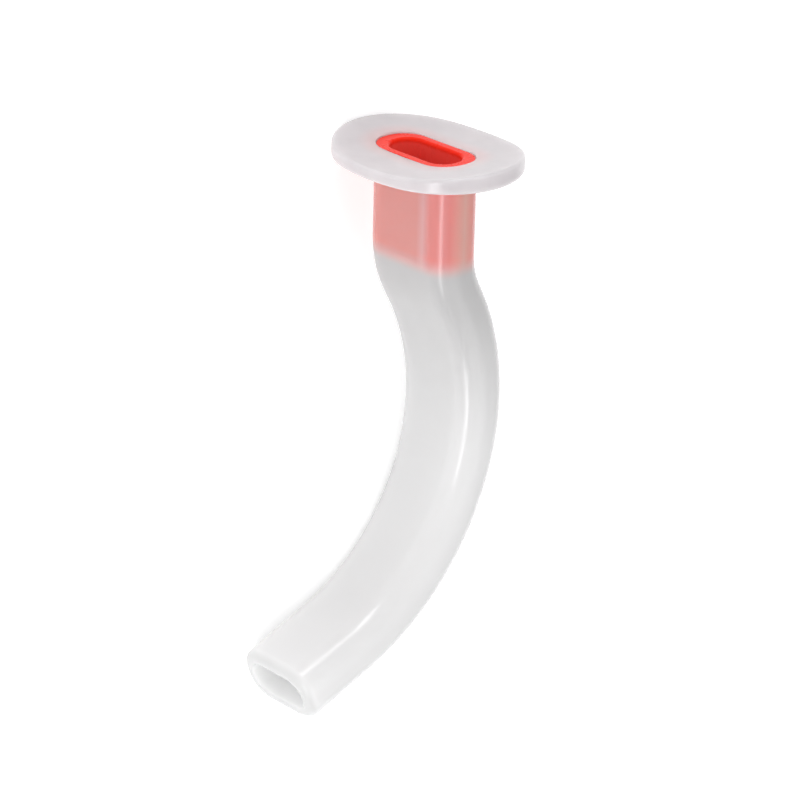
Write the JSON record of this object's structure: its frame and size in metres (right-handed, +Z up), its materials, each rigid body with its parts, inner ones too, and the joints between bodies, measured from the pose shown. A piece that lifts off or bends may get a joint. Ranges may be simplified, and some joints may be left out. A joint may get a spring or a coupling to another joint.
{
  "type": "oropharyngeal airway",
  "caption": "Curved, flattened breathing tube in translucent plastic, with an oval flange and a red bite block let into its straight end.",
  "frame": {"origin": "on the table that the airway lies on, under the middle of its box", "axes": "+Z up from the table, with the airway on its side; +Y along the floor towards the flange end; +X towards the outside of the bend"},
  "size_m": [0.052, 0.1046, 0.0368],
  "materials": {
    "natural_polyethylene": "translucent milky white, smooth satin moulding",
    "red_polypropylene": "opaque red, smooth moulding"
  },
  "bodies": {
    "root": {"airway_body": "natural_polyethylene", "bite_block": "red_polypropylene"}
  },
  "joints": []
}
